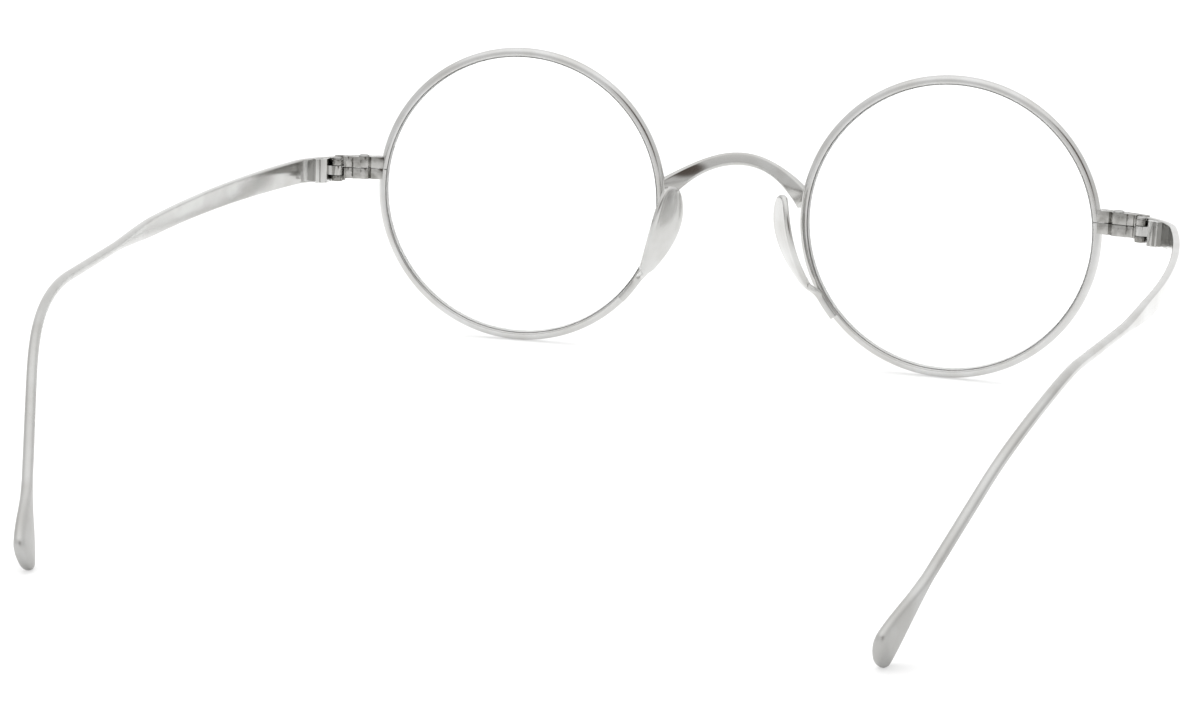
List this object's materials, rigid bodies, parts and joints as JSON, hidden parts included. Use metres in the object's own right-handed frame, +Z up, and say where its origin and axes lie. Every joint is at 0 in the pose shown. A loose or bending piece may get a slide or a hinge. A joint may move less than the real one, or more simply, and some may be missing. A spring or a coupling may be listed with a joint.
{
  "type": "eyeglass frame",
  "caption": "Round polished metal eyeglass frame with saddle bridge, leaf nose pads, screwed closing blocks, folding temples that narrow to wire, and clear demo lenses.",
  "frame": {"origin": "middle of the frame's outer box, on the table it stands on with open temples", "axes": "+X to the wearer's left, +Y back along the temples towards the ears, +Z up"},
  "size_m": [0.1378, 0.1488, 0.0453],
  "materials": {
    "polished_metal": "polished",
    "screw_steel": "satin",
    "washer": "matte",
    "demo_lens": "clear"
  },
  "bodies": {
    "front": {"eyewire_left": "polished_metal", "eyewire_right": "polished_metal", "demo_lens_left": "demo_lens", "demo_lens_right": "demo_lens", "bridge": "polished_metal", "nose_pad_left": "polished_metal", "nose_pad_right": "polished_metal", "closing_block_upper_left": "polished_metal", "closing_block_upper_right": "polished_metal", "closing_block_lower_left": "polished_metal", "closing_block_lower_right": "polished_metal", "closing_screw_left": "screw_steel", "closing_screw_right": "screw_steel", "hinge_screw_left": "screw_steel", "hinge_screw_right": "screw_steel", "hinge_washers_left": "washer", "hinge_washers_right": "washer"},
    "temple_left": {"hinge_leaf_left": "polished_metal", "temple_left": "polished_metal"},
    "temple_right": {"hinge_leaf_right": "polished_metal", "temple_right": "polished_metal"}
  },
  "joints": [
    {"name": "hinge_left", "type": "hinge", "parent": "front", "child": "temple_left", "pos_m": [0.06142, -0.06326, 0.02515], "axis": [0, 0, 1], "range_deg": [0, 88]},
    {"name": "hinge_right", "type": "hinge", "parent": "front", "child": "temple_right", "pos_m": [-0.06142, -0.06326, 0.02515], "axis": [0, 0, 1], "range_deg": [-82, 0]}
  ]
}
